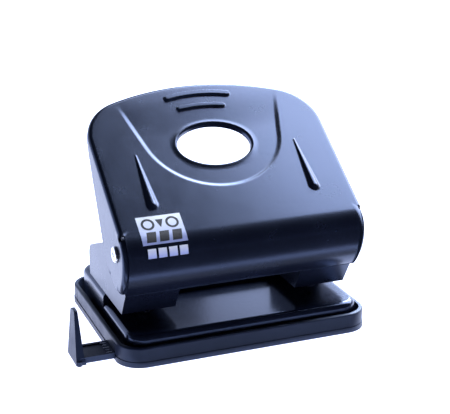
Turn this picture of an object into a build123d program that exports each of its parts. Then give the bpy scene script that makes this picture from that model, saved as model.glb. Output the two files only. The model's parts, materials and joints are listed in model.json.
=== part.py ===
from build123d import *
import math
import os

os.makedirs("parts", exist_ok=True)

# ---------------------------------------------------------------- driving sizes (mm)
# X runs along the row of holes, -Y is the paper side, Z is up, Z = 0 is the table.
hole_spacing = 80.0
hole_edge_distance = 12.0

tray_depth = 89.4
tray_height = 8.8
tray_corner = 11.0
tray_wall = 1.8
tray_floor = 1.4
tray_ledge_height = 2.4
tray_ledge_out = 0.3
housing_margin = 2.0

table_height = 13.0
throat_height = 4.5
sheet = 1.2
bracket_sheet = 1.4
skirt_bottom = 5.4
plate_margin = 1.2
plate_side_gap = 2.2
plate_front_gap = 1.2
plate_rear_gap = 4.0
plate_edge_radius = 2.4
stop_y = -1.8

bracket_inner_reach = 11.5
bracket_outer_reach = 12.8
apron_rise = 12.5
apron_lean = 0.6
lip_gap = 0.27
foot_rear = 24.5
ear_rises = (14.0, 19.0, 23.5)
ear_corner = 6.5
bracket_rivet_reach = 6.0
bracket_rivet_rows = (5.0, 15.0)
bracket_rivet_diameter = 3.0

pin_diameter = 5.5
pin_clearance = 0.15
pin_length = 22.0
die_clearance = 0.1
die_wall = 1.75
die_height = 2.6
stroke = 6.6
tip_recess = 0.4
head_overhang = 1.85
head_height = 1.8
crown_ratio = 1.74
ring_height = 0.8
ring_groove = 0.5
ring_overhang = 1.65
spring_wire = 0.6
spring_clearance = 0.85
spring_turns = 4.0

plate_angle = 35.1
plate_above_pivot = 35.1
flange_gap = 1.7
handle_rear = 35.4
handle_rear_radius = 122.4
handle_corner = 22.9
bend_radius = 2.2
rim_height = 4.2
roll_start_y = -37.1
roll_radius = 12.3
lip_radius = 23.05
lip_sweep = 48.0
roll_slit = 0.4
finger_hole_s = -0.8
finger_hole_half_x = 17.2
finger_hole_half_s = 11.6
collar_depth = 3.0

rib_height = 0.9
grip_rib_curve = 60.0
grip_ribs = ((28.9, 14.4, 1.8), (21.5, 10.3, 1.6))
side_rib_inset = 18.1
side_rib_tip = -3.2
side_rib_end = -30.6
side_rib_radius = 2.6
side_rib_tip_width = 1.0

pivot_y = -31.0
pivot_rise = 29.5
pivot_diameter = 4.0
pivot_clearance = 0.15
nose_radius = 6.6
rivet_head_diameter = 7.0
rivet_head_height = 1.2

guide_reach = 17.1
guide_bar_width = 13.5
guide_bar_height = 2.6
guide_bar_length = 106.0
guide_y = -26.0
guide_low = 0.7
guide_gap = 0.25
fin_height = 21.4
fin_lean = 2.0
fin_front_lean = 8.6
fin_overhang = 0.6

hinge_wire_diameter = 1.6
hinge_wire_length = 66.0
hinge_gap = 0.1
hinge_wall = 1.0
hinge_lug_x = 25.0

badge_inset = 8.9
badge_width = 19.5
badge_thick = 0.12
badge_top = -36.2
badge_sweep = 22.0

# ---------------------------------------------------------------- derived sizes
platform_height = table_height + throat_height
pin_x = hole_spacing / 2
pin_y = stop_y - hole_edge_distance
bracket_in = pin_x - bracket_inner_reach
bracket_out = pin_x + bracket_outer_reach
plate_half = bracket_out + plate_margin
tray_inner_w = plate_half + plate_side_gap
tray_width = 2 * (tray_inner_w + tray_wall)
plate_front = -tray_depth / 2 + tray_wall + plate_front_gap
plate_rear = tray_depth / 2 - tray_wall - plate_rear_gap
plate_corner = tray_corner - tray_wall - plate_front_gap
plate_mid = (plate_front + plate_rear) / 2
plate_len = plate_rear - plate_front

shelf_top = platform_height + bracket_sheet
rivet_spots = [(side * (pin_x + bracket_rivet_reach), y) for side in (-1, 1) for y in bracket_rivet_rows]

pivot_z = platform_height + pivot_rise
plate_rise = pivot_z + plate_above_pivot

pin_radius = pin_diameter / 2
pin_bore = pin_radius + pin_clearance
head_radius = pin_radius + head_overhang
crown_radius = crown_ratio * head_radius
spring_radius = pin_radius + spring_clearance + spring_wire / 2
die_radius = pin_radius + die_wall
tip_rest = platform_height + tip_recess
press_angle = math.degrees(math.atan(stroke / 2 / (pin_y - pivot_y)))
press_rest = tip_rest + pin_length
press_drop = (press_rest - stroke / 2 - pivot_z) * math.cos(math.radians(press_angle))
crown_drop = crown_radius - math.sqrt(crown_radius**2 - head_radius**2)
half_drop = crown_radius - math.sqrt(crown_radius**2 - head_radius**2 / 4)
head_top = press_rest - 0.1 - crown_radius * (1 / math.cos(math.radians(press_angle)) - 1)
head_bottom = head_top - head_height
ring_bottom = shelf_top + stroke + 0.2
guide_bottom = ring_bottom + ring_height + 0.1
guide_top = guide_bottom + bracket_sheet

flange_inner = bracket_out + flange_gap
half_handle = flange_inner + sheet
spacer_length = flange_gap - 0.2

slope = math.radians(plate_angle)
plate_direction = (0, -math.sin(slope), math.cos(slope))
plate_plane = Plane(origin=(0, 0, plate_rise), x_dir=(1, 0, 0), z_dir=plate_direction)
plate_normal = Axis((0, 0, 0), plate_direction)
fold_s = roll_start_y / math.cos(slope)
roll_start_z = plate_rise + math.tan(slope) * roll_start_y
roll_cy = roll_start_y + roll_radius * math.sin(slope)
roll_cz = roll_start_z - roll_radius * math.cos(slope)
lip_cy = roll_cy - roll_radius + lip_radius
apron_top_z = platform_height + apron_rise
apron_reach = lip_radius - sheet - lip_gap
apron_top_y = lip_cy - math.sqrt(apron_reach**2 - (roll_cz - apron_top_z) ** 2)
apron_foot = apron_top_y + apron_rise * apron_lean

hinge_y = plate_rear + 2.2
hinge_z = tray_height + 0.4
guide_high = guide_low + guide_bar_height
channel_roof = guide_high + guide_gap + 0.9


def polar(cy, cz, radius, degrees):
    angle = math.radians(degrees)
    return (cy + radius * math.cos(angle), cz + radius * math.sin(angle))


def press_height(y, degrees):
    angle = math.radians(degrees)
    return pivot_z + (y - pivot_y) * math.tan(angle) + press_drop / math.cos(angle)


def on_plate(s, height):
    y = s * math.cos(slope) - height * math.sin(slope)
    z = plate_rise + s * math.sin(slope) + height * math.cos(slope)
    return (y, z)


# ---------------------------------------------------------------- chip tray
ledge_width = tray_width + 2 * tray_ledge_out
ledge_depth = tray_depth + 2 * tray_ledge_out
inner_depth = tray_depth - 2 * tray_wall
housing_right = tray_width / 2 - 12
housing_width = housing_right + tray_width / 2 - tray_wall / 2

with BuildPart() as chip_tray:
    with BuildSketch():
        RectangleRounded(tray_width, tray_depth, tray_corner)
    extrude(amount=tray_height)
    rim = chip_tray.faces().sort_by(Axis.Z)[-1].edges()
    fillet(rim, 0.8)
    with BuildSketch(Plane.XY.offset(tray_floor)):
        RectangleRounded(2 * tray_inner_w, inner_depth, tray_corner - tray_wall)
    extrude(amount=tray_height, mode=Mode.SUBTRACT)
    # low skirt ledge round the foot
    with BuildSketch():
        RectangleRounded(ledge_width, ledge_depth, tray_corner + tray_ledge_out)
        RectangleRounded(tray_width - 1, tray_depth - 1, tray_corner - 1, mode=Mode.SUBTRACT)
    extrude(amount=tray_ledge_height)
    # housing that the paper guide slides in
    with BuildSketch():
        with Locations((housing_right - housing_width / 2, guide_y)):
            Rectangle(housing_width, guide_bar_width + 2 * housing_margin)
    extrude(amount=channel_roof)
    with BuildSketch(Plane.XY.offset(guide_low - guide_gap / 2)):
        with Locations((-12, guide_y)):
            Rectangle(tray_width, guide_bar_width + 2 * guide_gap)
    extrude(amount=guide_bar_height + 1.5 * guide_gap, mode=Mode.SUBTRACT)
    # hinge lugs on the rear wall
    for side in (-1, 1):
        for step in (-1, 1):
            lug_x = side * hinge_lug_x + step * 4.5
            with BuildSketch(Plane.YZ.offset(lug_x)):
                with Locations((hinge_y, hinge_z)):
                    Circle(hinge_wire_diameter / 2 + hinge_wall + 0.05)
                with Locations((hinge_y, hinge_z / 2)):
                    Rectangle(3.7, hinge_z)
                with Locations((hinge_y + 1.3, hinge_z / 2)):
                    Rectangle(1.6, hinge_z - 0.8)
                with Locations((hinge_y, hinge_z)):
                    Circle(hinge_wire_diameter / 2, mode=Mode.SUBTRACT)
            extrude(amount=1.6, both=True)
    # seam groove of the rear band, left and right
    for side in (-1, 1):
        with Locations((side * (tray_width / 2 + tray_ledge_out), 30, tray_height / 2)):
            Box(0.8, 0.5, tray_height, mode=Mode.SUBTRACT)
chip_tray.part.label = "chip_tray"
export_step(chip_tray.part, "parts/chip_tray.step")

# ---------------------------------------------------------------- base plate
def plate_form(inset, low):
    width = 2 * (plate_half - inset)
    length = plate_len - 2 * inset
    corner = plate_corner - inset
    with BuildPart() as form:
        with BuildSketch(Plane.XY.offset(low)):
            with Locations((0, plate_mid)):
                RectangleRounded(width, length, corner)
        extrude(amount=table_height - inset - low)
        outline = form.faces().sort_by(Axis.Z)[-1].edges()
        fillet(outline, plate_edge_radius - inset)
        with BuildSketch(Plane.XY.offset(low)):
            with Locations((0, plate_mid)):
                RectangleRounded(width, length, corner)
            with Locations((0, stop_y + inset + plate_len / 2)):
                Rectangle(width, plate_len, mode=Mode.INTERSECT)
        extrude(amount=platform_height - inset - low)
        top = form.faces().sort_by(Axis.Z)[-1].edges()
        rim_edges = top.filter_by(lambda edge: edge.center().Y > stop_y + inset + 0.1)
        fillet(rim_edges, plate_edge_radius - inset)
    return form.part


plate_outside = plate_form(0, skirt_bottom)
plate_inside = plate_form(sheet, skirt_bottom - 2)

with BuildPart() as base_plate:
    add(plate_outside)
    add(plate_inside, mode=Mode.SUBTRACT)
    # die seats
    with BuildSketch(Plane.XY.offset(table_height)):
        with Locations((-pin_x, pin_y), (pin_x, pin_y)):
            Circle(die_radius)
    extrude(amount=-2 * sheet, mode=Mode.SUBTRACT)
    # bend reliefs at both ends of the paper stop
    for side in (-1, 1):
        with Locations((side * (plate_half - 1), stop_y - 0.3, platform_height - 2.4)):
            Box(3.4, 1.4, 7.0, mode=Mode.SUBTRACT)
    # rivet holes
    with BuildSketch(Plane.XY.offset(platform_height)):
        with Locations(*rivet_spots):
            Circle(bracket_rivet_diameter / 2)
    extrude(amount=-2 * sheet, mode=Mode.SUBTRACT)
    # hinge barrels on the rear skirt
    for side in (-1, 1):
        with BuildSketch(Plane.YZ.offset(side * hinge_lug_x)):
            with Locations((hinge_y, hinge_z)):
                Circle(hinge_wire_diameter / 2 + hinge_wall)
            with Locations((plate_rear + 0.4, hinge_z)):
                Rectangle(2.8, 2.4)
            with Locations((hinge_y, hinge_z)):
                Circle(hinge_wire_diameter / 2 + hinge_gap, mode=Mode.SUBTRACT)
        extrude(amount=2.6, both=True)
base_plate.part.label = "base_plate"
export_step(base_plate.part, "parts/base_plate.step")

# ---------------------------------------------------------------- hinge wire
with BuildPart() as hinge_wire:
    with Locations((0, hinge_y, hinge_z)):
        Cylinder(hinge_wire_diameter / 2, hinge_wire_length, rotation=(0, 90, 0))
hinge_wire.part.label = "hinge_wire"
export_step(hinge_wire.part, "parts/hinge_wire.step")

# ---------------------------------------------------------------- punch brackets with ears
def make_bracket(side):
    with BuildPart() as bracket:
        # lower shelf and foot
        with BuildSketch(Plane.XY.offset(platform_height)):
            with BuildLine():
                Polyline(
                    (side * bracket_in, apron_foot),
                    (side * bracket_out, apron_foot),
                    (side * bracket_out, foot_rear),
                    (side * (pin_x - 1), foot_rear),
                    (side * (pin_x - 3), 4),
                    (side * bracket_in, 4),
                    close=True,
                )
            make_face()
        extrude(amount=bracket_sheet)
        # leaning front apron
        with BuildSketch(Plane.YZ.offset(side * bracket_in)):
            with BuildLine():
                Polyline(
                    (apron_foot, platform_height),
                    (apron_top_y, apron_top_z),
                    (apron_top_y + 1.6, apron_top_z),
                    (apron_foot + 1.6, platform_height),
                    close=True,
                )
            make_face()
        extrude(amount=side * (bracket_out - bracket_in))
        # ear
        with BuildSketch(Plane.YZ.offset(side * (bracket_out - bracket_sheet))):
            with BuildLine():
                Polyline(
                    (apron_foot, platform_height),
                    (foot_rear, platform_height),
                    (foot_rear + 0.5, platform_height + ear_rises[0]),
                    (12.7, platform_height + ear_rises[1]),
                    (0.7, platform_height + ear_rises[2]),
                    polar(pivot_y, pivot_z, nose_radius, 66),
                    (pivot_y, pivot_z),
                    polar(pivot_y, pivot_z, nose_radius, 203),
                    (apron_top_y + 0.6, apron_top_z),
                    close=True,
                )
            make_face()
            with Locations((pivot_y, pivot_z)):
                Circle(nose_radius)
            with Locations((pivot_y, pivot_z)):
                Circle(pivot_diameter / 2, mode=Mode.SUBTRACT)
        extrude(amount=side * bracket_sheet)
        rear_top = bracket.edges().filter_by(Axis.X)
        rear_top = rear_top.filter_by(lambda e: e.center().Z > shelf_top + 5 and e.center().Y > 11)
        fillet(rear_top, ear_corner)
        # inner cheek
        with BuildSketch(Plane.YZ.offset(side * bracket_in)):
            with BuildLine():
                Polyline(
                    (apron_foot, platform_height),
                    (2, platform_height),
                    (0, platform_height + 11.5),
                    (apron_foot - 10.5 * apron_lean, platform_height + 10.5),
                    close=True,
                )
            make_face()
        extrude(amount=side * bracket_sheet)
        # bores
        with BuildSketch(Plane.XY.offset(platform_height)):
            with Locations((side * pin_x, pin_y)):
                Circle(pin_bore)
            with Locations(*rivet_spots):
                Circle(bracket_rivet_diameter / 2)
        extrude(amount=bracket_sheet, mode=Mode.SUBTRACT)
    return bracket


bracket_left = make_bracket(-1)
bracket_left.part.label = "bracket_left"
export_step(bracket_left.part, "parts/bracket_left.step")
bracket_right = make_bracket(1)
bracket_right.part.label = "bracket_right"
export_step(bracket_right.part, "parts/bracket_right.step")


# ---------------------------------------------------------------- upper pin guides
def make_pin_guide(side):
    with BuildPart() as guide:
        inner = bracket_in + bracket_sheet
        outer = bracket_out - bracket_sheet
        with BuildSketch(Plane.XY.offset(guide_bottom)):
            with Locations((side * (inner + outer) / 2, pin_y)):
                Rectangle(outer - inner, 20)
            with Locations((side * pin_x, pin_y)):
                Circle(pin_bore, mode=Mode.SUBTRACT)
        extrude(amount=bracket_sheet)
        # stiffening lip at the rear
        with BuildSketch(Plane.XY.offset(guide_bottom - 3)):
            with Locations((side * (inner + outer) / 2, pin_y + 9.3)):
                Rectangle(outer - inner, 1.4)
        extrude(amount=3)
    return guide


pin_guide_left = make_pin_guide(-1)
pin_guide_left.part.label = "pin_guide_left"
export_step(pin_guide_left.part, "parts/pin_guide_left.step")
pin_guide_right = make_pin_guide(1)
pin_guide_right.part.label = "pin_guide_right"
export_step(pin_guide_right.part, "parts/pin_guide_right.step")


# ---------------------------------------------------------------- die rings
def make_die(side):
    with BuildPart() as die:
        with BuildSketch(Plane.XY.offset(table_height - die_height)):
            with Locations((side * pin_x, pin_y)):
                Circle(die_radius)
                Circle(pin_radius + die_clearance, mode=Mode.SUBTRACT)
        extrude(amount=die_height)
    return die


die_left = make_die(-1)
die_left.part.label = "die_left"
export_step(die_left.part, "parts/die_left.step")
die_right = make_die(1)
die_right.part.label = "die_right"
export_step(die_right.part, "parts/die_right.step")


# ---------------------------------------------------------------- punch pins
def make_pin(side):
    with BuildPart() as pin:
        centre_x = side * pin_x
        neck = pin_radius
        with BuildSketch(Plane.XZ.offset(-pin_y)):
            with BuildLine():
                Polyline(
                    (centre_x, head_top),
                    (centre_x, tip_rest),
                    (centre_x + neck, tip_rest),
                    (centre_x + neck, head_bottom),
                    (centre_x + head_radius, head_bottom),
                    (centre_x + head_radius, head_top - crown_drop),
                )
                ThreePointArc(
                    (centre_x + head_radius, head_top - crown_drop),
                    (centre_x + head_radius / 2, head_top - half_drop),
                    (centre_x, head_top),
                )
            make_face()
        revolve(axis=Axis((centre_x, pin_y, 0), (0, 0, 1)))
        # groove for the retaining ring
        with BuildSketch(Plane.XY.offset(ring_bottom)):
            with Locations((side * pin_x, pin_y)):
                Circle(pin_radius + 0.2)
                Circle(pin_radius - ring_groove, mode=Mode.SUBTRACT)
        extrude(amount=ring_height, mode=Mode.SUBTRACT)
        # hollow grind across the tip
        with Locations((side * pin_x, pin_y, tip_rest - 0.69 * pin_radius)):
            Cylinder(pin_radius + 0.15, 12, rotation=(90, 0, 0), mode=Mode.SUBTRACT)
    return pin


pin_left = make_pin(-1)
pin_left.part.label = "pin_left"
export_step(pin_left.part, "parts/pin_left.step")
pin_right = make_pin(1)
pin_right.part.label = "pin_right"
export_step(pin_right.part, "parts/pin_right.step")


# ---------------------------------------------------------------- retaining rings
def make_ring(side):
    with BuildPart() as ring:
        with BuildSketch(Plane.XY.offset(ring_bottom)):
            with Locations((side * pin_x, pin_y)):
                Circle(pin_radius + ring_overhang)
                Circle(pin_radius - ring_groove, mode=Mode.SUBTRACT)
            with Locations((side * pin_x, pin_y - pin_radius - 1.25)):
                Rectangle(2.6, 5, mode=Mode.SUBTRACT)
        extrude(amount=ring_height)
    return ring


ring_left = make_ring(-1)
ring_left.part.label = "ring_left"
export_step(ring_left.part, "parts/ring_left.step")
ring_right = make_ring(1)
ring_right.part.label = "ring_right"
export_step(ring_right.part, "parts/ring_right.step")

# ---------------------------------------------------------------- return springs
def make_spring(side):
    height = head_bottom - guide_top - spring_wire - 0.04
    low = guide_top + spring_wire / 2 + 0.02
    with BuildPart() as spring:
        with BuildLine():
            Helix(height / spring_turns, height, spring_radius, center=(side * pin_x, pin_y, low))
        start = (side * pin_x + spring_radius, pin_y, low)
        with BuildSketch(Plane(origin=start, x_dir=(1, 0, 0), z_dir=(0, 1, 0))):
            Circle(spring_wire / 2)
        sweep()
    return spring


spring_left = make_spring(-1)
spring_left.part.label = "spring_left"
export_step(spring_left.part, "parts/spring_left.step")
spring_right = make_spring(1)
spring_right.part.label = "spring_right"
export_step(spring_right.part, "parts/spring_right.step")


# ---------------------------------------------------------------- pivots
def make_rivet(side):
    with BuildPart() as rivet:
        with BuildSketch(Plane.YZ.offset(side * (bracket_out - bracket_sheet - 0.9))):
            with Locations((pivot_y, pivot_z)):
                Circle(pivot_diameter / 2)
        extrude(amount=side * (half_handle - bracket_out + bracket_sheet + 1.2))
        with BuildSketch(Plane.YZ.offset(side * (half_handle + 0.15))):
            with Locations((pivot_y, pivot_z)):
                Circle(rivet_head_diameter / 2)
        extrude(amount=side * rivet_head_height)
        outer = rivet.faces().sort_by(Axis.X)[-1 if side > 0 else 0].edges()
        fillet(outer, 0.9)
        with BuildSketch(Plane.YZ.offset(side * (half_handle + 0.15 + rivet_head_height / 2))):
            with Locations((pivot_y, pivot_z)):
                Circle(1.2)
        extrude(amount=side * 3, mode=Mode.SUBTRACT)
        # set-over inner end
        with BuildSketch(Plane.YZ.offset(side * (bracket_out - bracket_sheet))):
            with Locations((pivot_y, pivot_z)):
                Circle(3.0)
        extrude(amount=-side * 0.9)
    return rivet


rivet_left = make_rivet(-1)
rivet_left.part.label = "rivet_left"
export_step(rivet_left.part, "parts/rivet_left.step")
rivet_right = make_rivet(1)
rivet_right.part.label = "rivet_right"
export_step(rivet_right.part, "parts/rivet_right.step")


def make_spacer(side):
    with BuildPart() as spacer:
        with BuildSketch(Plane.YZ.offset(side * bracket_out)):
            with Locations((pivot_y, pivot_z)):
                Circle(5.0)
                Circle(pivot_diameter / 2, mode=Mode.SUBTRACT)
        extrude(amount=side * spacer_length)
    return spacer


spacer_left = make_spacer(-1)
spacer_left.part.label = "spacer_left"
export_step(spacer_left.part, "parts/spacer_left.step")
spacer_right = make_spacer(1)
spacer_right.part.label = "spacer_right"
export_step(spacer_right.part, "parts/spacer_right.step")

# ---------------------------------------------------------------- bracket rivets
with BuildPart() as bracket_rivets:
    with BuildSketch(Plane.XY.offset(platform_height - sheet - 0.8)):
        with Locations(*rivet_spots):
            Circle(2.4)
    extrude(amount=0.8)
    with BuildSketch(Plane.XY.offset(platform_height - sheet)):
        with Locations(*rivet_spots):
            Circle(bracket_rivet_diameter / 2)
    extrude(amount=sheet + bracket_sheet)
    with BuildSketch(Plane.XY.offset(shelf_top)):
        with Locations(*rivet_spots):
            Circle(2.6)
    extrude(amount=1.3)
    crowns = bracket_rivets.edges().filter_by_position(Axis.Z, shelf_top + 1.2, shelf_top + 1.4)
    fillet(crowns, 1.0)
bracket_rivets.part.label = "bracket_rivets"
export_step(bracket_rivets.part, "parts/bracket_rivets.step")


# ---------------------------------------------------------------- handle
def side_profile(inset, drop):
    # the handle seen from its side, drop degrees past its lip where it cuts the hollow
    top = on_plate(fold_s, -inset)
    radius = roll_radius - inset
    reach = lip_radius - inset
    sweep_end = 180 + lip_sweep + drop
    front = (roll_cy - radius, roll_cz)
    lip = polar(lip_cy, roll_cz, reach, sweep_end)
    with BuildSketch() as profile:
        with BuildLine():
            ThreePointArc(top, polar(roll_cy, roll_cz, radius, 117 + plate_angle), front)
            ThreePointArc(front, polar(lip_cy, roll_cz, reach, (180 + sweep_end) / 2), lip)
            if drop > 0:
                Polyline(lip, (lip[0], -20), (90, -20), (90, 200), on_plate(fold_s, 20), top)
            else:
                Polyline(
                    lip,
                    (pivot_y + 1.5, pivot_z - 16.4),
                    (pivot_y + 10.5, pivot_z - 12.5),
                    (pivot_y + 17.0, pivot_z - 7.5),
                    (pivot_y + 21.0, pivot_z - 1.5),
                    on_plate(10.5, -rim_height),
                    on_plate(90, -rim_height),
                    on_plate(90, 20),
                    on_plate(fold_s, 20),
                    top,
                )
        make_face()
    return profile.sketch


def handle_form(inset, drop):
    half = half_handle - inset
    rear = handle_rear - inset
    big = handle_rear_radius - inset
    shoulder = rear - (big - math.sqrt(big * big - half * half))
    profile = side_profile(inset, drop)
    with BuildPart() as form:
        with BuildSketch(plate_plane.offset(-inset)) as outline:
            with BuildLine():
                ThreePointArc((half, shoulder), (0, rear), (-half, shoulder))
                Polyline((-half, shoulder), (-half, -90), (half, -90), (half, shoulder))
            make_face()
            corners = outline.vertices().filter_by(lambda v: abs(abs(v.X) - half) < 0.1)
            fillet(corners.sort_by(Axis.Y)[-2:], handle_corner - inset)
        extrude(amount=-90)
        with BuildSketch(Plane.YZ):
            add(profile)
        extrude(amount=half_handle + 5, both=True, mode=Mode.INTERSECT)
        # the plate turns down into its sides and rear rim, and the roll into the side flanges
        plate_edges = form.faces().sort_by(plate_normal)[-1].edges()
        plate_edges = plate_edges.filter_by(lambda e: abs(e.center().X) > 1 or e.center().Y > 0)
        roll_edges = form.edges().filter_by(GeomType.CIRCLE)
        roll_edges = roll_edges.filter_by(lambda e: abs(abs(e.center().X) - half) < 0.01)
        fillet(plate_edges + roll_edges, bend_radius - inset)
    return form.part


def roll_band(near, far):
    # strip that follows the front roll between two depths under its outer face
    first = 90 + plate_angle
    last = 180 + lip_sweep + 8
    roll_near, roll_far = roll_radius - near, roll_radius - far
    lip_near, lip_far = lip_radius - near, lip_radius - far
    middle_roll, middle_lip = (first + 180) / 2, (180 + last) / 2
    with BuildSketch() as band:
        with BuildLine():
            ThreePointArc(
                polar(roll_cy, roll_cz, roll_near, first),
                polar(roll_cy, roll_cz, roll_near, middle_roll),
                (roll_cy - roll_near, roll_cz),
            )
            ThreePointArc(
                (roll_cy - roll_near, roll_cz),
                polar(lip_cy, roll_cz, lip_near, middle_lip),
                polar(lip_cy, roll_cz, lip_near, last),
            )
            Line(polar(lip_cy, roll_cz, lip_near, last), polar(lip_cy, roll_cz, lip_far, last))
            ThreePointArc(
                polar(lip_cy, roll_cz, lip_far, last),
                polar(lip_cy, roll_cz, lip_far, middle_lip),
                (roll_cy - roll_far, roll_cz),
            )
            ThreePointArc(
                (roll_cy - roll_far, roll_cz),
                polar(roll_cy, roll_cz, roll_far, middle_roll),
                polar(roll_cy, roll_cz, roll_far, first),
            )
            Line(polar(roll_cy, roll_cz, roll_far, first), polar(roll_cy, roll_cz, roll_near, first))
        make_face()
    return band.sketch


handle_outside = handle_form(0, 0)
handle_inside = handle_form(sheet, 10)
slit_band = roll_band(-1, sheet + 1.5)

with BuildPart() as handle:
    add(handle_outside)
    add(handle_inside, mode=Mode.SUBTRACT)
    # pressed ribs: two curved ones to grip, and a pointed one on each side
    for centre_s, half_length, half_width in grip_ribs:
        drop_s = half_length**2 / (2 * grip_rib_curve)
        front, rear = centre_s - half_width, centre_s + half_width
        tip = half_length + half_width
        rear_end, mid_end, front_end = rear - drop_s, centre_s - drop_s, front - drop_s
        with BuildSketch(plate_plane):
            with BuildLine():
                ThreePointArc((-half_length, rear_end), (0, rear), (half_length, rear_end))
                ThreePointArc((half_length, rear_end), (tip, mid_end), (half_length, front_end))
                ThreePointArc((half_length, front_end), (0, front), (-half_length, front_end))
                ThreePointArc((-half_length, front_end), (-tip, mid_end), (-half_length, rear_end))
            make_face()
        extrude(amount=rib_height)
    for side in (-1, 1):
        x = side * (half_handle - side_rib_inset)
        narrow = side_rib_tip_width / 2
        with BuildSketch(plate_plane):
            with BuildLine():
                Line((x - narrow, side_rib_tip), (x - side_rib_radius, side_rib_end))
                ThreePointArc(
                    (x - side_rib_radius, side_rib_end),
                    (x, side_rib_end - side_rib_radius),
                    (x + side_rib_radius, side_rib_end),
                )
                Line((x + side_rib_radius, side_rib_end), (x + narrow, side_rib_tip))
                Line((x + narrow, side_rib_tip), (x - narrow, side_rib_tip))
            make_face()
        extrude(amount=rib_height)
    # finger hole with a turned-down collar
    with BuildSketch(plate_plane.offset(-collar_depth)):
        with Locations((0, finger_hole_s)):
            Ellipse(finger_hole_half_x + sheet, finger_hole_half_s + sheet)
    extrude(amount=collar_depth - sheet / 2)
    with BuildSketch(plate_plane.offset(-collar_depth - 1)):
        with Locations((0, finger_hole_s)):
            Ellipse(finger_hole_half_x, finger_hole_half_s)
    extrude(amount=collar_depth + 4, mode=Mode.SUBTRACT)
    # narrow slits part the roll from the side flanges
    for side in (-1, 1):
        with BuildSketch(Plane.YZ.offset(side * (half_handle - bend_radius - roll_slit))):
            add(slit_band)
        extrude(amount=side * roll_slit, mode=Mode.SUBTRACT)
    # pivot bores
    with BuildSketch(Plane.YZ):
        with Locations((pivot_y, pivot_z)):
            Circle(pivot_diameter / 2 + pivot_clearance)
    extrude(amount=half_handle + 5, both=True, mode=Mode.SUBTRACT)
handle.part.label = "handle"
export_step(handle.part, "parts/handle.step")

# ---------------------------------------------------------------- press bar
with BuildPart() as press_bar:
    inner = lip_radius - sheet
    leg_low = math.degrees(math.asin((roll_cz - press_height(-37.8, press_angle) - 0.3) / inner))
    front_z = press_height(-37.8, press_angle)
    front = lip_cy - math.sqrt(inner**2 - (roll_cz - front_z) ** 2) + 0.1
    low = 180 + leg_low
    with BuildSketch(Plane.YZ):
        with BuildLine():
            ThreePointArc(
                polar(lip_cy, roll_cz, inner, 184),
                polar(lip_cy, roll_cz, inner, (184 + low) / 2),
                polar(lip_cy, roll_cz, inner, low),
            )
            Line(polar(lip_cy, roll_cz, inner, low), polar(lip_cy, roll_cz, inner - 1.4, low))
            ThreePointArc(
                polar(lip_cy, roll_cz, inner - 1.4, low),
                polar(lip_cy, roll_cz, inner - 1.4, (184 + low) / 2),
                polar(lip_cy, roll_cz, inner - 1.4, 184),
            )
            Line(polar(lip_cy, roll_cz, inner - 1.4, 184), polar(lip_cy, roll_cz, inner, 184))
        make_face()
        with BuildLine():
            Polyline(
                (front, press_height(front, press_angle)),
                (-4, press_height(-4, press_angle)),
                (-5, press_height(-4, press_angle) + 6),
                (-6.4, press_height(-4, press_angle) + 6),
                (-5.5, press_height(-5.5, press_angle) + 1.5),
                (front, press_height(front, press_angle) + 1.5),
                close=True,
            )
        make_face()
    extrude(amount=bracket_out - bracket_sheet - 1.0, both=True)
press_bar.part.label = "press_bar"
export_step(press_bar.part, "parts/press_bar.step")

# ---------------------------------------------------------------- badge
with BuildPart() as badge:
    begin = 90 + plate_angle
    end = begin + badge_sweep
    outer = roll_radius + badge_thick
    with BuildSketch(Plane.YZ.offset(-(half_handle - badge_inset))):
        with BuildLine():
            Line(on_plate(badge_top, 0), on_plate(badge_top, badge_thick))
            Line(on_plate(badge_top, badge_thick), on_plate(fold_s, badge_thick))
            ThreePointArc(
                polar(roll_cy, roll_cz, outer, begin),
                polar(roll_cy, roll_cz, outer, (begin + end) / 2),
                polar(roll_cy, roll_cz, outer, end),
            )
            Line(polar(roll_cy, roll_cz, outer, end), polar(roll_cy, roll_cz, roll_radius, end))
            ThreePointArc(
                polar(roll_cy, roll_cz, roll_radius, end),
                polar(roll_cy, roll_cz, roll_radius, (begin + end) / 2),
                polar(roll_cy, roll_cz, roll_radius, begin),
            )
            Line(on_plate(fold_s, 0), on_plate(badge_top, 0))
        make_face()
    extrude(amount=badge_width)
badge.part.label = "badge"
export_step(badge.part, "parts/badge.step")

# ---------------------------------------------------------------- paper guide
fin_out = -(tray_width / 2 + guide_reach)
fin_front = guide_y - guide_bar_width / 2 - fin_overhang
fin_rear = guide_y + guide_bar_width / 2 + fin_overhang
with BuildPart() as fin:
    # wedge that thins towards its top
    with BuildSketch(Plane.XZ.offset(-fin_rear)):
        with BuildLine():
            Polyline(
                (fin_out, 0.2),
                (fin_out + 4.4, 0.2),
                (fin_out + 3.6, 5.0),
                (fin_out + fin_lean + 1.5, fin_height),
                (fin_out + fin_lean, fin_height),
                (fin_out, 1.2),
                close=True,
            )
        make_face()
    extrude(amount=fin_rear - fin_front)
    # front edge slants back and the top corners are round
    with BuildSketch(Plane.YZ.offset(fin_out - 1)) as outline:
        with BuildLine():
            Polyline(
                (fin_rear, 0.2),
                (fin_rear, fin_height),
                (fin_front + fin_front_lean, fin_height),
                (fin_front, 1.6),
                (fin_front, 0.2),
                close=True,
            )
        make_face()
        fillet(outline.vertices().filter_by(lambda v: v.Y > fin_height - 1), 1.8)
    extrude(amount=7, mode=Mode.INTERSECT)

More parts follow.
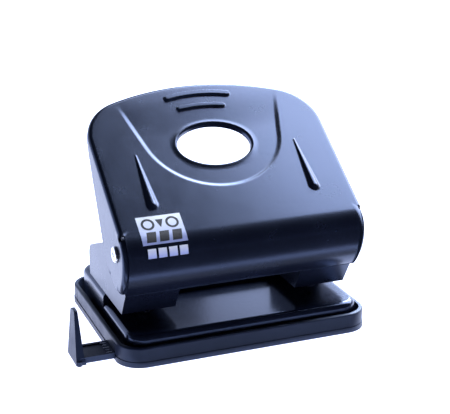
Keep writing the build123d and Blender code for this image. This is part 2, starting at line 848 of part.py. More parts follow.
with BuildPart() as paper_guide:
    with BuildSketch(Plane.XY.offset(guide_low)):
        with Locations((fin_out + guide_bar_length / 2 + 1.0, guide_y)):
            Rectangle(guide_bar_length - 2.0, guide_bar_width)
    extrude(amount=guide_bar_height)
    # shallow recess in the outer part of the bar
    with BuildSketch(Plane.XY.offset(guide_high)):
        with Locations((fin_out + 10.0, guide_y)):
            Rectangle(9.0, guide_bar_width - 3)
    extrude(amount=-0.5, mode=Mode.SUBTRACT)
    add(fin.part)
    # foot nub under the front corner of the fin
    with BuildSketch(Plane.XY.offset(0.05)):
        with Locations((fin_out + 1.4, fin_front + 0.3)):
            Circle(1.1)
    extrude(amount=2.0)
paper_guide.part.label = "paper_guide"
export_step(paper_guide.part, "parts/paper_guide.step")
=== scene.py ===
import math

import bmesh
import bpy
import numpy as np
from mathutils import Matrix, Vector
from mathutils.geometry import delaunay_2d_cdt
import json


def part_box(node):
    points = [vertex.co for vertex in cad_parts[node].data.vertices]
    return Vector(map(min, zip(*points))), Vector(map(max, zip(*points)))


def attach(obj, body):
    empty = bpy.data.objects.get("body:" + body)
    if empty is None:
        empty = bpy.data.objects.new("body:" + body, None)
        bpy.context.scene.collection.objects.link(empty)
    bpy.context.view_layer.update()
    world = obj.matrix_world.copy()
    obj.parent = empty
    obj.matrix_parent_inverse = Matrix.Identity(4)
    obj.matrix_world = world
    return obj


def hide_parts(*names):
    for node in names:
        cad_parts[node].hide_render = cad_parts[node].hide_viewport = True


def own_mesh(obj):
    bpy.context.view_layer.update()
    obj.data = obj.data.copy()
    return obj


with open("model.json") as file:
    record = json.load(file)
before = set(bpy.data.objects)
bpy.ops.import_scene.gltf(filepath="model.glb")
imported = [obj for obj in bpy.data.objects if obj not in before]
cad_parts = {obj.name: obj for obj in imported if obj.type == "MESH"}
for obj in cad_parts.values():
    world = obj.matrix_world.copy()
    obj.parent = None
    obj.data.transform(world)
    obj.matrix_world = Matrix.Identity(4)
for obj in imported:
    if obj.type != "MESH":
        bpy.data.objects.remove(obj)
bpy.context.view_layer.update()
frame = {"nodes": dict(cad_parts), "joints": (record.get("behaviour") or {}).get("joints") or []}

# ------------------------------------------------------------------ sizes in millimetres
MM = 0.001
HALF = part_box("handle")[1].x / MM
SHEET = 1.2
SLOPE = math.radians(35.1)
PLATE_RISE = 82.1
HOLE_S, HOLE_X, HOLE_Y = -0.8, 17.2, 11.6
COLLAR_RADIUS, COLLAR_DEPTH = 1.6, 3.0

REAR, REAR_RADIUS, CORNER = 35.4, 122.4, 22.9
BEND = 2.2
RIM = 4.2
HEEL_S = 10.5

ROLL_RADIUS, LIP_RADIUS, LIP_SWEEP = 12.3, 23.05, 48.0
FOLD_Y = -37.1
FOLD_S = FOLD_Y / math.cos(SLOPE)
ROLL_Y = FOLD_Y + ROLL_RADIUS * math.sin(SLOPE)
ROLL_Z = PLATE_RISE + FOLD_Y * math.tan(SLOPE) - ROLL_RADIUS * math.cos(SLOPE)
LIP_Y = ROLL_Y - ROLL_RADIUS + LIP_RADIUS
ROLL_HALF = HALF - BEND
EDGE_BEND = 1.8
EDGE_SETBACK = SHEET + 0.05

hinge = next(j for j in frame["joints"] if j["name"] == "handle_hinge")
PIVOT = (hinge["pos_m"][1] / MM, hinge["pos_m"][2] / MM)
RIVET_HOLE = 2.15

STEP_RADIUS, STEP_CENTRE, STEP_FLARE = 32.6, 8.3, math.radians(14.5)
STEP_DEPTH, STEP_RUN = 0.65, 2.3


# ------------------------------------------------------------------ helpers
def on_plate(x, s, height=0.0):
    # a point from the handle plate's own coordinates, in metres
    y = s * math.cos(SLOPE) - height * math.sin(SLOPE)
    z = PLATE_RISE + s * math.sin(SLOPE) + height * math.cos(SLOPE)
    return Vector((x, y, z)) * MM


PLATE_NORMAL = Vector((0, -math.sin(SLOPE), math.cos(SLOPE)))


def smooth(t):
    t = np.clip(t, 0.0, 1.0)
    return t * t * (3 - 2 * t)


def new_object(name, bm, body, material):
    mesh = bpy.data.meshes.new(name)
    bm.to_mesh(mesh)
    bm.free()
    mesh.materials.append(material)
    obj = bpy.data.objects.new(name, mesh)
    bpy.context.scene.collection.objects.link(obj)
    mesh.polygons.foreach_set("use_smooth", [True] * len(mesh.polygons))
    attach(obj, body)
    return obj


def add_modifier(obj, kind, **values):
    modifier = obj.modifiers.new(kind.title(), kind)
    for key, value in values.items():
        setattr(modifier, key, value)


# ------------------------------------------------------------------ materials
def new_material(name):
    material = bpy.data.materials.new(name)
    material.use_nodes = True
    tree = material.node_tree
    shader = tree.nodes["Principled BSDF"]
    return material, tree, shader


def node(tree, kind, inputs=None, **settings):
    made = tree.nodes.new(kind)
    for key, value in settings.items():
        setattr(made, key, value)
    for key, value in (inputs or {}).items():
        made.inputs[key].default_value = value
    return made


def noise(tree, scale, detail=2.0, roughness=0.5):
    place = node(tree, "ShaderNodeTexCoord")
    made = node(tree, "ShaderNodeTexNoise", {"Scale": scale, "Detail": detail, "Roughness": roughness})
    tree.links.new(place.outputs["Object"], made.inputs["Vector"])
    return made


def ramp(tree, source, low, high, at=(0.3, 0.7)):
    made = node(tree, "ShaderNodeValToRGB")
    made.color_ramp.elements[0].position, made.color_ramp.elements[1].position = at
    made.color_ramp.elements[0].color = (*low, 1)
    made.color_ramp.elements[1].color = (*high, 1)
    tree.links.new(source, made.inputs["Fac"])
    return made.outputs["Color"]


def map_range(tree, source, low, high, start=0.3, stop=0.7):
    limits = {"From Min": start, "From Max": stop, "To Min": low, "To Max": high}
    made = node(tree, "ShaderNodeMapRange", limits)
    tree.links.new(source, made.inputs["Value"])
    return made.outputs["Result"]


def bump(tree, shader, layers):
    # layers of (height source, distance in metres, strength), the finest last
    previous = None
    for source, distance, strength in layers:
        made = node(tree, "ShaderNodeBump", {"Strength": strength, "Distance": distance})
        tree.links.new(source, made.inputs["Height"])
        if previous:
            tree.links.new(previous.outputs["Normal"], made.inputs["Normal"])
        previous = made
    tree.links.new(previous.outputs["Normal"], shader.inputs["Normal"])


def make_paint(name, gloss, peel):
    material, tree, shader = new_material(name)
    tone = noise(tree, 45.0, 3.0)
    colour = ramp(tree, tone.outputs["Fac"], (0.0035, 0.0045, 0.010), (0.0050, 0.0065, 0.0140))
    tree.links.new(colour, shader.inputs["Base Color"])
    patches = noise(tree, 90.0, 4.0, 0.6)
    rough = map_range(tree, patches.outputs["Fac"], gloss * 0.93, gloss * 1.07)
    tree.links.new(rough, shader.inputs["Roughness"])
    shader.inputs["Specular IOR Level"].default_value = 0.9
    shader.inputs["Specular Tint"].default_value = (0.42, 0.58, 1.0, 1)
    ripple = noise(tree, 620.0, 1.0, 0.4)
    bump(tree, shader, [(ripple.outputs["Fac"], 0.00004 * peel, 0.5)])
    return material


def make_plastic(name, low, high, gloss):
    material, tree, shader = new_material(name)
    tone = noise(tree, 60.0, 4.0, 0.6)
    tree.links.new(ramp(tree, tone.outputs["Fac"], low, high), shader.inputs["Base Color"])
    patches = noise(tree, 150.0, 3.0)
    rough = map_range(tree, patches.outputs["Fac"], gloss * 0.9, gloss * 1.1)
    tree.links.new(rough, shader.inputs["Roughness"])
    shader.inputs["Specular Tint"].default_value = (0.55, 0.70, 1.0, 1)
    grain = noise(tree, 2600.0, 3.0, 0.6)
    bump(tree, shader, [(grain.outputs["Fac"], 0.00005, 0.5)])
    return material


def make_metal(name, low, high, gloss, scratch=0.00001):
    material, tree, shader = new_material(name)
    shader.inputs["Metallic"].default_value = 1.0
    tone = noise(tree, 220.0, 4.0, 0.65)
    tree.links.new(ramp(tree, tone.outputs["Fac"], low, high), shader.inputs["Base Color"])
    patches = noise(tree, 500.0, 4.0, 0.6)
    rough = map_range(tree, patches.outputs["Fac"], gloss * 0.75, gloss * 1.3)
    tree.links.new(rough, shader.inputs["Roughness"])
    grain = noise(tree, 1500.0, 3.0)
    bump(tree, shader, [(grain.outputs["Fac"], scratch, 0.5)])
    return material


def make_print_painted_sheen(name, low, high, metallic, gloss):
    material, tree, shader = new_material(name)
    place = node(tree, "ShaderNodeTexCoord")
    split = node(tree, "ShaderNodeSeparateXYZ")
    tree.links.new(place.outputs["Generated"], split.inputs["Vector"])
    # the colour runs from the low tone at the foot of each piece to the high tone at its top: painted
    # shade below and a painted highlight above
    tree.links.new(ramp(tree, split.outputs["Z"], low, high, (0.15, 0.95)), shader.inputs["Base Color"])
    grain = noise(tree, 1200.0, 3.0)
    rough = map_range(tree, grain.outputs["Fac"], gloss * 0.85, gloss * 1.15)
    tree.links.new(rough, shader.inputs["Roughness"])
    shader.inputs["Metallic"].default_value = metallic
    bump(tree, shader, [(grain.outputs["Fac"], 0.00001, 0.4)])
    return material


handle_paint = make_paint("handle_paint", 0.26, 0.55)
base_paint = make_paint("base_paint", 0.19, 0.8)
bracket_paint = make_paint("bracket_paint", 0.28, 0.8)
tray_plastic = make_plastic("tray_plastic", (0.009, 0.013, 0.030), (0.013, 0.018, 0.040), 0.42)
guide_plastic = make_plastic("guide_plastic", (0.013, 0.019, 0.042), (0.018, 0.026, 0.054), 0.45)
zinc_steel = make_metal("zinc_steel", (0.55, 0.57, 0.60), (0.70, 0.72, 0.76), 0.32)
hard_steel = make_metal("hard_steel", (0.50, 0.51, 0.54), (0.62, 0.63, 0.66), 0.24)
spring_steel = make_metal("spring_steel", (0.45, 0.46, 0.48), (0.60, 0.61, 0.64), 0.28)
nickel = make_metal("nickel", (0.80, 0.81, 0.86), (0.92, 0.93, 0.97), 0.14, 0.000006)
# silver print with a painted sheen, blue-grey at its foot and near white at its top
silver_print = make_print_painted_sheen("silver_print", (0.42, 0.47, 0.75), (0.95, 0.96, 1.0), 0.1, 0.4)
black_print = make_print_painted_sheen("black_print", (0.004, 0.004, 0.008), (0.006, 0.006, 0.012), 0.0, 0.7)
pale_print = make_print_painted_sheen("pale_print", (0.70, 0.74, 0.85), (0.75, 0.79, 0.90), 0.0, 0.5)

NODE_MATERIALS = {
    "chip_tray": tray_plastic,
    "paper_guide": guide_plastic,
    "base_plate": base_paint,
    "press_bar": bracket_paint,
    "hinge_wire": spring_steel,
    "bracket_rivets": nickel,
}
for side in ("left", "right"):
    NODE_MATERIALS["bracket_" + side] = bracket_paint
    NODE_MATERIALS["rivet_" + side] = nickel
    for piece, material in (("pin_guide", zinc_steel), ("spacer", zinc_steel), ("die", hard_steel)):
        NODE_MATERIALS[piece + "_" + side] = material
    for piece, material in (("pin", hard_steel), ("ring", spring_steel)):
        NODE_MATERIALS[piece + "_" + side] = material
for name, material in NODE_MATERIALS.items():
    mesh = frame["nodes"][name].data
    mesh.materials.clear()
    mesh.materials.append(material)


# ------------------------------------------------------------------ handle: outline and embossing
def outline_points(inset):
    # outline of the plate from its front left corner round the rear to the front right corner:
    # rows of (x, s, outward x, outward s)
    big, small = REAR_RADIUS - inset, CORNER - inset
    corner_x = HALF - CORNER
    corner_s = REAR - REAR_RADIUS + math.sqrt((REAR_RADIUS - CORNER) ** 2 - corner_x**2)
    meet = math.atan2(corner_s - REAR + REAR_RADIUS, corner_x)
    rows = []
    for k in range(36):
        s = FOLD_S + (corner_s - FOLD_S) * k / 36
        rows.append((-HALF + inset, s, -1.0, 0.0))
    for k in range(24):
        angle = math.pi - meet * k / 24
        nx, ns = math.cos(angle), math.sin(angle)
        rows.append((-corner_x + small * nx, corner_s + small * ns, nx, ns))
    for k in range(21):
        angle = math.pi - meet - (math.pi / 2 - meet) * k / 20
        nx, ns = math.cos(angle), math.sin(angle)
        rows.append((big * nx, REAR - REAR_RADIUS + big * ns, nx, ns))
    mirrored = [(-x, s, -nx, ns) for x, s, nx, ns in reversed(rows[:-1])]
    return rows + mirrored


def step_height(x, s):
    # the area round the finger hole lies a little lower than the rest of the plate
    across = np.abs(x)
    tangent_x = STEP_RADIUS * math.cos(STEP_FLARE)
    tangent_s = STEP_CENTRE - STEP_RADIUS * math.sin(STEP_FLARE)
    along = (across - tangent_x) * math.sin(STEP_FLARE) + (s - tangent_s) * math.cos(STEP_FLARE)
    beside = (across - tangent_x) * math.cos(STEP_FLARE) - (s - tangent_s) * math.sin(STEP_FLARE)
    around = np.hypot(across, s - STEP_CENTRE) - STEP_RADIUS
    distance = np.where(along > 0, beside, around)
    fade = 1 - smooth((s - 6) / 22)
    return distance, -STEP_DEPTH * fade * (1 - smooth(distance / STEP_RUN + 0.5))


GRIPS = ((28.9, 14.4, 1.0, 1.25), (21.5, 10.3, 0.8, 1.2))
GRIP_RUN, GRIP_CURVE = 0.8, 60.0


def grip_height(x, s):
    # two curved ribs near the rear edge
    nearest, total = np.full(x.shape, 99.0), np.zeros(x.shape)
    for centre, half_length, half_top, height in GRIPS:
        inside = np.clip(x, -half_length, half_length)
        distance = np.hypot(x - inside, s - centre + inside**2 / (2 * GRIP_CURVE))
        total += height * (1 - smooth((distance - half_top) / GRIP_RUN))
        nearest = np.minimum(nearest, distance - half_top - GRIP_RUN)
    return nearest, total


DROP_X, DROP_TIP, DROP_END = 37.6, -3.6, -30.6
DROP_THIN, DROP_WIDE, DROP_HEIGHT = 0.5, 2.9, 1.45


def drop_height(x, s):
    # two pointed ribs that widen and rise towards the front
    share = np.clip((DROP_TIP - s) / (DROP_TIP - DROP_END), 0, 1)
    centre = DROP_TIP + share * (DROP_END - DROP_TIP)
    width = DROP_THIN + share * (DROP_WIDE - DROP_THIN)
    distance = np.hypot(np.abs(x) - DROP_X, s - centre)
    height = 0.25 + (DROP_HEIGHT - 0.25) * share
    return distance - width, height * (1 - smooth((distance / width - 0.12) / 0.88))


def emboss(x, s):
    # distance to the nearest embossed edge, and the height pressed into the plate
    step, step_rise = step_height(x, s)
    grip, grip_rise = grip_height(x, s)
    drop, drop_rise = drop_height(x, s)
    step = np.where(s < 27, np.abs(step) - STEP_RUN / 2, 99.0)
    return np.minimum(np.minimum(step, grip), drop), step_rise + grip_rise + drop_rise


# ------------------------------------------------------------------ handle: outer surface
def roll_profile(steps=(14, 18)):
    # (y, z, radial y, radial z) from the fold down to the free lip
    rows = []
    first = math.pi / 2 + SLOPE
    for k in range(steps[0] + 1):
        angle = first + (math.pi - first) * k / steps[0]
        rows.append((ROLL_Y, ROLL_RADIUS, angle))
    for k in range(1, steps[1] + 1):
        rows.append((LIP_Y, LIP_RADIUS, math.pi + math.radians(LIP_SWEEP) * k / steps[1]))
    return [(y, radius, math.cos(angle), math.sin(angle)) for y, radius, angle in rows]


def roll_point(x, row, depth):
    centre, radius, cy, cz = row
    reach = radius - depth
    return Vector((x, centre + reach * cy, ROLL_Z + reach * cz)) * MM


def make_grid(bm, rows, closed=False):
    # quads between rows of vertices
    for upper, lower in zip(rows, rows[1:]):
        count = len(upper)
        for k in range(count if closed else count - 1):
            n = (k + 1) % count
            bm.faces.new((upper[k], upper[n], lower[n], lower[k]))


def plate_surface(bm):
    edge = outline_points(BEND)
    fold_steps = 56
    fold = [(ROLL_HALF - 2 * ROLL_HALF * k / fold_steps, FOLD_S) for k in range(1, fold_steps)]
    loop = [(x, s) for x, s, nx, ns in edge] + fold
    rays = []
    for x, s in loop:
        angle = math.atan2((s - HOLE_S) / HOLE_Y, x / HOLE_X)
        rays.append((math.cos(angle), math.sin(angle)))
    rows = []
    # collar of the finger hole, from its free edge up to the plate
    for depth in (COLLAR_DEPTH, (COLLAR_DEPTH + COLLAR_RADIUS) / 2):
        rows.append([bm.verts.new(on_plate(HOLE_X * c, HOLE_S + HOLE_Y * s, -depth)) for c, s in rays])
    for k in range(7):
        turn = math.pi / 2 * k / 6
        out = COLLAR_RADIUS * (1 - math.cos(turn))
        drop = COLLAR_RADIUS * (1 - math.sin(turn))
        row = []
        for c, s in rays:
            nx, ns = c / HOLE_X, s / HOLE_Y
            size = math.hypot(nx, ns)
            x = HOLE_X * c + out * nx / size
            y = HOLE_S + HOLE_Y * s + out * ns / size
            row.append(bm.verts.new(on_plate(x, y, -drop)))
        rows.append(row)
    inner = [(HOLE_X * c, HOLE_S + HOLE_Y * s, c / HOLE_X, s / HOLE_Y) for c, s in rays]
    radial = 16
    for k in range(1, radial + 1):
        share = k / radial
        row = []
        for (x, s), (ix, iy, nx, ns) in zip(loop, inner):
            size = math.hypot(nx, ns)
            sx = ix + COLLAR_RADIUS * nx / size
            sy = iy + COLLAR_RADIUS * ns / size
            row.append(bm.verts.new(on_plate(sx + (x - sx) * share, sy + (s - sy) * share)))
        rows.append(row)
    make_grid(bm, rows, closed=True)
    border = rows[-1]
    return edge, border[: len(edge)], [border[len(edge) - 1]] + border[len(edge) :] + [border[0]]


def side_bend(bm, edge, border):
    # the plate turns down along its sides and rear; the last 1 mm before the fold is cut away
    keep = [k for k, (x, s, nx, ns) in enumerate(edge) if s > FOLD_S + 1.0]
    rows = [[border[k] for k in keep]]
    for step in range(1, 9):
        turn = math.pi / 2 * step / 8
        reach, drop = BEND * math.sin(turn), BEND * (1 - math.cos(turn))
        row = []
        for k in keep:
            x, s, nx, ns = edge[k]
            row.append(bm.verts.new(on_plate(x + reach * nx, s + reach * ns, -drop)))
        rows.append(row)
    make_grid(bm, rows)
    return [edge[k] for k in keep], rows[-1]


def rim_wall(bm, edge, top):
    # short wall round the rear; returns the heel vertices, where the side flanges begin
    chosen = [k for k, (x, s, nx, ns) in enumerate(edge) if s > HEEL_S or abs(nx) < 0.99]
    rows = [[top[k] for k in chosen]]
    for depth in ((BEND + RIM) / 2, RIM):
        row = []
        for k in chosen:
            x, s, nx, ns = edge[k]
            row.append(bm.verts.new(on_plate(x + BEND * nx, s + BEND * ns, -depth)))
        rows.append(row)
    make_grid(bm, rows)
    return chosen[0], chosen[-1], rows


# lower outline of the side flange, from the roll's lip back to the heel, as (y, z)
FLANGE_FOOT = (
    (-29.5, 30.6),
    (-24.5, 32.4),
    (-20.5, 34.5),
    (-16.8, 37.1),
    (-14.0, 39.9),
    (-11.8, 42.9),
    (-10.0, 46.4),
)


def front_edge(bm, side):
    # the flange's front edge turns in behind the end of the roll
    profile = roll_profile()
    rows = []
    for step in range(-1, 8):
        if step < 0:
            x, depth = HALF - EDGE_BEND - 1.3, EDGE_SETBACK
        else:
            turn = math.pi / 2 * step / 7
            x = HALF - EDGE_BEND + EDGE_BEND * math.sin(turn)
            depth = EDGE_SETBACK + EDGE_BEND * (1 - math.cos(turn))
        rows.append([bm.verts.new(roll_point(side * x, row, depth)) for row in profile])
    rows.reverse()
    make_grid(bm, rows)
    return rows[0]


def flange(bm, side, top, rim_column):
    # flat side wall, filled between the bends, the lower outline and the rivet hole
    front = front_edge(bm, side)
    foot = [bm.verts.new(Vector((side * HALF, y, z)) * MM) for y, z in FLANGE_FOOT]
    outline = list(front) + foot + rim_column + top
    count = 28
    hole = []
    for k in range(count):
        angle = 2 * math.pi * k / count
        y, z = PIVOT[0] + RIVET_HOLE * math.cos(angle), PIVOT[1] + RIVET_HOLE * math.sin(angle)
        hole.append(bm.verts.new(Vector((side * HALF, y, z)) * MM))
    points = [(v.co.y / MM, v.co.z / MM) for v in outline + hole]
    border = points[: len(outline)]
    # points 2 mm apart inside the outline keep the triangles short
    between = []
    for y in range(-42, 24, 2):
        for z in range(32, 92, 2):
            gap = min(math.hypot(y - py, z - pz) for py, pz in points)
            if gap > 1.2 and inside(Vector((y, z)), border) and math.dist((y, z), PIVOT) > RIVET_HOLE + 1:
                between.append(bm.verts.new(Vector((side * HALF, y, z)) * MM))
    points += [(v.co.y / MM, v.co.z / MM) for v in between]
    edges = [(k, (k + 1) % len(outline)) for k in range(len(outline))]
    edges += [(len(outline) + k, len(outline) + (k + 1) % count) for k in range(count)]
    made = delaunay_2d_cdt([Vector(p) for p in points], edges, [], 0, 1e-6)
    places, faces = made[0], made[2]
    verts = outline + hole + between
    index = [sources[0] for sources in made[3]]
    for face in faces:
        centre = sum((places[k] for k in face), Vector((0, 0))) / len(face)
        if (centre - Vector(PIVOT)).length < RIVET_HOLE * 0.9 or not inside(centre, border):
            continue
        bm.faces.new([verts[index[k]] for k in face])


def inside(place, polygon):
    found = False
    for (ax, ay), (bx, by) in zip(polygon, polygon[1:] + polygon[:1]):
        if (ay > place.y) != (by > place.y) and place.x < ax + (place.y - ay) / (by - ay) * (bx - ax):
            found = not found
    return found


def roll_surface(bm, fold):
    # fold runs from the right end to the left end
    rows = [fold]
    for row in roll_profile()[1:]:
        rows.append([bm.verts.new(roll_point(v.co.x / MM, row, 0)) for v in fold])
    make_grid(bm, rows)


def plate_coordinates(bm):
    co = np.array([v.co for v in bm.verts]) / MM
    dy, dz = co[:, 1], co[:, 2] - PLATE_RISE
    s = dy * math.cos(SLOPE) + dz * math.sin(SLOPE)
    height = -dy * math.sin(SLOPE) + dz * math.cos(SLOPE)
    return co[:, 0], s, height


def refine(bm, rounds=3):
    # smaller faces where the plate is embossed
    for _ in range(rounds):
        bm.verts.ensure_lookup_table()
        bm.verts.index_update()
        x, s, height = plate_coordinates(bm)
        near = emboss(x, s)[0]
        flat = (np.abs(height) < 0.01) & (s > FOLD_S - 0.01)
        chosen = set()
        for face in bm.faces:
            ids = [v.index for v in face.verts]
            if not flat[ids].all():
                continue
            reach = max(e.calc_length() for e in face.edges) / MM
            if near[ids].min() < 0.15 + 0.35 * reach:
                chosen.update(face.edges)
        bmesh.ops.subdivide_edges(bm, edges=list(chosen), cuts=1, use_grid_fill=True)


def make_shell(bm):
    # the sheet's thickness, with the embossing pressed through both faces
    crease = bm.edges.layers.float.new("bevel_weight_edge")
    bmesh.ops.recalc_face_normals(bm, faces=bm.faces)
    bm.normal_update()
    bm.verts.ensure_lookup_table()
    bm.verts.index_update()
    x, s, height = plate_coordinates(bm)
    pressed = np.where((np.abs(height) < 0.01) & (s > FOLD_S - 0.01), emboss(x, s)[1], 0.0)
    rim = [e for e in bm.edges if e.is_boundary]
    ends = [tuple(v.index for v in e.verts) for e in rim]
    outer = list(bm.verts)
    faces = list(bm.faces)
    inner = []
    for k, v in enumerate(outer):
        inner.append(bm.verts.new(v.co - v.normal * SHEET * MM + PLATE_NORMAL * pressed[k] * 0.92 * MM))
    for k, v in enumerate(outer):
        v.co += PLATE_NORMAL * float(pressed[k]) * MM
    for face in faces:
        bm.faces.new([inner[v.index] for v in reversed(face.verts)])
    for (a, b), edge in zip(ends, rim):
        face = edge.link_faces[0]
        loop = [v.index for v in face.verts]
        if loop[(loop.index(a) + 1) % len(loop)] == b:
            a, b = b, a
        bm.faces.new((outer[a], outer[b], inner[b], inner[a]))
        edge[crease] = 1.0
        bm.edges.get((inner[a], inner[b]))[crease] = 1.0


def make_handle():
    bm = bmesh.new()
    edge, border, fold = plate_surface(bm)
    kept, top = side_bend(bm, edge, border)
    first, last, rim = rim_wall(bm, kept, top)
    roll_surface(bm, fold)
    left_rim = [row[0] for row in reversed(rim[1:])]
    right_rim = [row[-1] for row in reversed(rim[1:])]
    flange(bm, -1, list(reversed(top[: first + 1])), left_rim)
    flange(bm, 1, top[last:], right_rim)
    refine(bm)
    make_shell(bm)
    obj = new_object("handle_shell", bm, "handle", handle_paint)
    add_modifier(obj, "BEVEL", width=0.22 * MM, segments=2, limit_method="WEIGHT")
    add_modifier(obj, "WEIGHTED_NORMAL", keep_sharp=True)
    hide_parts("handle")


make_handle()


# ------------------------------------------------------------------ badge: a plain printed panel
BADGE_TOP, BADGE_LEFT, BADGE_RIGHT, BADGE_TALL = -36.2, -46.8, -27.3, 13.9
PANEL_LIFT, MARK_LIFT = 0.03, 0.05
RING_INSET, RING_PATH, RING_RADIUS, RING_LINE = 4.4, 4.1, 2.9, 1.0
WEDGE_PATH, WEDGE_HALF, WEDGE_TALL = 2.0, 1.7, 4.2
SLANT_INSET, SLANT_STEP, SLANT_WIDTH, SLANT_LEAN = 2.8, 5.6, 4.1, -0.18
SLANT_PATH, SLANT_END = 8.0, 12.9
BAR_INSET, BAR_STEP, BAR_WIDTH = 1.6, 4.6, 3.6
BAR_GAP, BAR_END = 1.6, 5.6


def print_point(x, path, lift):
    # path runs down the plate from the badge's top edge and on round the roll
    s = BADGE_TOP - path
    if s > FOLD_S:
        return on_plate(x, s, lift)
    angle = math.pi / 2 + SLOPE + (FOLD_S - s) / ROLL_RADIUS
    row = (ROLL_Y, ROLL_RADIUS, math.cos(angle), math.sin(angle))
    return roll_point(x, row, -lift)


def print_patch(bm, x0, x1, p0, p1, lift, lean=0.0):
    columns, rows = max(2, int((x1 - x0) / 1.0)), max(2, int((p1 - p0) / 0.6))
    grid = []
    for j in range(rows + 1):
        path = p0 + (p1 - p0) * j / rows
        shift = lean * (path - p0)
        grid.append([])
        for k in range(columns + 1):
            grid[-1].append(bm.verts.new(print_point(x0 + shift + (x1 - x0) * k / columns, path, lift)))
    for upper, lower in zip(grid, grid[1:]):
        for k in range(columns):
            bm.faces.new((upper[k], lower[k], lower[k + 1], upper[k + 1]))


def print_ring(bm, x, path, radius, line, lift):
    count = 28
    rows = [[], []]
    for k in range(count):
        angle = 2 * math.pi * k / count
        for row, reach in zip(rows, (radius, radius - line)):
            across, down = reach * math.cos(angle), reach * math.sin(angle)
            row.append(bm.verts.new(print_point(x + across, path + down, lift)))
    for k in range(count):
        n = (k + 1) % count
        bm.faces.new((rows[0][n], rows[0][k], rows[1][k], rows[1][n]))


def print_wedge(bm, x, path, half, tall, lift):
    # a small arrow head that points down the badge
    corners = ((x - half, path), (x, path + tall), (x + half, path))
    bm.faces.new([bm.verts.new(print_point(px, pp, lift)) for px, pp in corners])


def make_badge():
    left, right, tall = BADGE_LEFT, BADGE_RIGHT, BADGE_TALL
    panel = bmesh.new()
    print_patch(panel, left, right, 0, tall, PANEL_LIFT)
    panel_obj = new_object("badge_panel", panel, "handle", silver_print)
    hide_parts("badge")
    marks = bmesh.new()
    # two rings and a centre mark stand for the pair of holes, and slanted bars for the stack
    for x in (left + RING_INSET, right - RING_INSET):
        print_ring(marks, x, RING_PATH, RING_RADIUS, RING_LINE, MARK_LIFT)
    print_wedge(marks, (left + right) / 2, WEDGE_PATH, WEDGE_HALF, WEDGE_TALL, MARK_LIFT)
    for k in range(3):
        x = left + SLANT_INSET + SLANT_STEP * k
        print_patch(marks, x, x + SLANT_WIDTH, SLANT_PATH, SLANT_END, MARK_LIFT, SLANT_LEAN)
    new_object("badge_marks", marks, "handle", black_print)
    bars = bmesh.new()
    for k in range(4):
        x = left + BAR_INSET + BAR_STEP * k
        print_patch(bars, x, x + BAR_WIDTH, tall + BAR_GAP, tall + BAR_END, PANEL_LIFT)
    new_object("badge_bars", bars, "handle", silver_print)


make_badge()


# ------------------------------------------------------------------ printed marks on the paper guide
GUIDE_TOP = 3.3
TICK_X, TICK_Y, TICK_STEP = 14.9, -31.0, 2.4
TICK_LONG, TICK_SHORT, TICK_LINE = 1.3, 0.8, 0.3


def make_guide_marks():
    low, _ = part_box("paper_guide")
    height = GUIDE_TOP * MM + 0.00003
    bm = bmesh.new()
    for k in range(5):
        x, y = low.x + TICK_X * MM, (TICK_Y + TICK_STEP * k) * MM
        half = TICK_SHORT if k % 2 else TICK_LONG
        corners = ((-half, -TICK_LINE), (half, -TICK_LINE), (half, TICK_LINE), (-half, TICK_LINE))
        bm.faces.new([bm.verts.new((x + dx * MM, y + dy * MM, height)) for dx, dy in corners])
    new_object("guide_marks", bm, "guide", pale_print)


make_guide_marks()


# ------------------------------------------------------------------ return springs
def make_spring(side, name):
    low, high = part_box("spring_" + side)
    centre = (low + high) / 2
    wire = 0.3 * MM
    radius = (high.x - low.x) / 2 - wire
    turns, around, steps = 5.5, 10, 40
    bottom, top = low.z + wire, high.z - wire
    total = int(turns * steps)
    bm = bmesh.new()
    rings = []
    for k in range(total + 1):
        share = k / total
        angle = 2 * math.pi * turns * share
        # the end turns lie closed
        height = bottom + (top - bottom) * min(max((share * turns - 0.75) / (turns - 1.5), 0), 1)
        out = Vector((math.cos(angle), math.sin(angle), 0))
        middle = Vector((centre.x, centre.y, height)) + out * radius
        ring = []
        for j in range(around):
            turn = 2 * math.pi * j / around
            rise = Vector((0, 0, wire * math.sin(turn)))
            ring.append(bm.verts.new(middle + out * wire * math.cos(turn) + rise))
        rings.append(ring)
    make_grid(bm, rings, closed=True)
    for ring in (rings[0], list(reversed(rings[-1]))):
        bm.faces.new(ring)
    bmesh.ops.recalc_face_normals(bm, faces=bm.faces)
    obj = new_object("coil_" + side, bm, "frame", spring_steel)
    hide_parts(name)
    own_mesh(obj)


for side in ("left", "right"):
    make_spring(side, "spring_" + side)


# ------------------------------------------------------------------ stage, light and camera
def make_floor():
    bm = bmesh.new()
    bmesh.ops.create_grid(bm, x_segments=1, y_segments=1, size=6.0)
    mesh = bpy.data.meshes.new("floor")
    bm.to_mesh(mesh)
    bm.free()
    material, tree, shader = new_material("floor_pale")
    shade = noise(tree, 3.0).outputs["Fac"]
    tree.links.new(ramp(tree, shade, (0.29, 0.29, 0.30), (0.31, 0.31, 0.31)), shader.inputs["Base Color"])
    shader.inputs["Roughness"].default_value = 0.9
    shader.inputs["Specular IOR Level"].default_value = 0.1
    shader.inputs["Emission Color"].default_value = (0.70, 0.75, 1.0, 1)
    shader.inputs["Emission Strength"].default_value = 2.2
    mesh.materials.append(material)
    floor = bpy.data.objects.new("floor", mesh)
    bpy.context.scene.collection.objects.link(floor)


def studio_card(name, corners, brightness, colour=(1, 1, 1, 1)):
    # a card that shows only in reflections: it casts no shadow and the camera does not see it
    bm = bmesh.new()
    bm.faces.new([bm.verts.new(corner) for corner in corners])
    mesh = bpy.data.meshes.new(name)
    bm.to_mesh(mesh)
    bm.free()
    material, _, shader = new_material(name)
    shader.inputs["Base Color"].default_value = (0, 0, 0, 1)
    shader.inputs["Specular IOR Level"].default_value = 0.0
    shader.inputs["Emission Color"].default_value = colour
    shader.inputs["Emission Strength"].default_value = brightness
    mesh.materials.append(material)
    card = bpy.data.objects.new(name, mesh)
    bpy.context.scene.collection.objects.link(card)
    card.visible_camera = False
    card.visible_diffuse = False
    card.visible_shadow = False


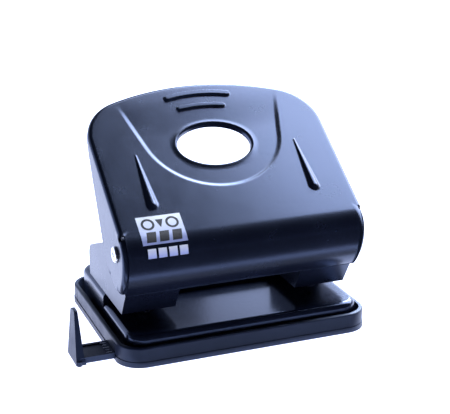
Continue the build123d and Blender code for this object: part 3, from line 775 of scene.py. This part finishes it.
def make_world():
    world = bpy.data.worlds.new("studio")
    bpy.context.scene.world = world
    world.use_nodes = True
    tree = world.node_tree
    back = tree.nodes["Background"]
    place = node(tree, "ShaderNodeTexCoord")
    split = node(tree, "ShaderNodeSeparateXYZ")
    tree.links.new(place.outputs["Generated"], split.inputs["Vector"])
    behind = map_range(tree, split.outputs["Y"], 0.0, 1.0, -0.05, 0.55)
    low = map_range(tree, split.outputs["Z"], 1.0, 0.0, 0.33, 0.62)
    right = map_range(tree, split.outputs["X"], 0.45, 1.0, 0.28, 0.40)
    both = node(tree, "ShaderNodeMath", operation="MULTIPLY")
    tree.links.new(behind, both.inputs[0])
    tree.links.new(low, both.inputs[1])
    lit = node(tree, "ShaderNodeMath", operation="MULTIPLY")
    tree.links.new(both.outputs[0], lit.inputs[0])
    tree.links.new(right, lit.inputs[1])
    strength = map_range(tree, lit.outputs[0], 0.03, 3.1, 0.0, 1.0)
    tree.links.new(strength, back.inputs["Strength"])
    back.inputs["Color"].default_value = (0.62, 0.71, 1.0, 1)


def area_light(name, place, aim, size, power, colour=(1, 1, 1)):
    light = bpy.data.lights.new(name, "AREA")
    light.shape = "RECTANGLE"
    light.size, light.size_y = size
    light.energy = power
    light.color = colour
    obj = bpy.data.objects.new(name, light)
    obj.location = place
    obj.rotation_mode = "QUATERNION"
    obj.rotation_quaternion = (Vector(aim) - Vector(place)).to_track_quat("-Z", "Y")
    bpy.context.scene.collection.objects.link(obj)


def make_camera():
    data = bpy.data.cameras.new("camera")
    data.sensor_fit = "HORIZONTAL"
    data.sensor_width = 36.0
    data.lens = 92.06
    data.clip_start, data.clip_end = 0.01, 50.0
    camera = bpy.data.objects.new("camera", data)
    camera.location = (-0.1776, -0.4623, 0.2173)
    camera.rotation_mode = "QUATERNION"
    camera.rotation_quaternion = Vector((0.3484, 0.8817, -0.3180)).to_track_quat("-Z", "Y")
    bpy.context.scene.collection.objects.link(camera)
    bpy.context.scene.camera = camera


make_floor()
make_world()
# flags keep reflections dark, the high board lights the right and rear of the handle
front_card = [(-3, -3, 0.001), (3, -3, 0.001), (3, -0.073, 0.001), (-3, -0.073, 0.001)]
studio_card("front_flag", front_card, 0.01)
high_card = [(0.285, -0.08, 0.60), (0.03, 0.30, 0.64), (0.62, 0.36, 0.26), (0.62, -0.08, 0.26)]
studio_card("high_board", high_card, 11.0, (0.78, 0.80, 0.90, 1))
near_card = [
    (-0.3, -0.062, 0.0008),
    (0.3, -0.062, 0.0008),
    (0.3, -0.0462, 0.0008),
    (-0.3, -0.0462, 0.0008),
]
studio_card("near_flag", near_card, 0.35)
rear_card = [(0.012, 0.2, 0.03), (0.07, 0.2, 0.03), (0.07, 0.2, 0.13), (0.012, 0.2, 0.13)]
studio_card("rear_flag", rear_card, 0.05)
area_light("softbox", (0.86, 0.62, 0.86), (0, 0, 0.05), (0.95, 0.75), 60.0, (0.64, 0.77, 1.0))
make_camera()
bpy.context.scene.view_settings.view_transform = "Standard"
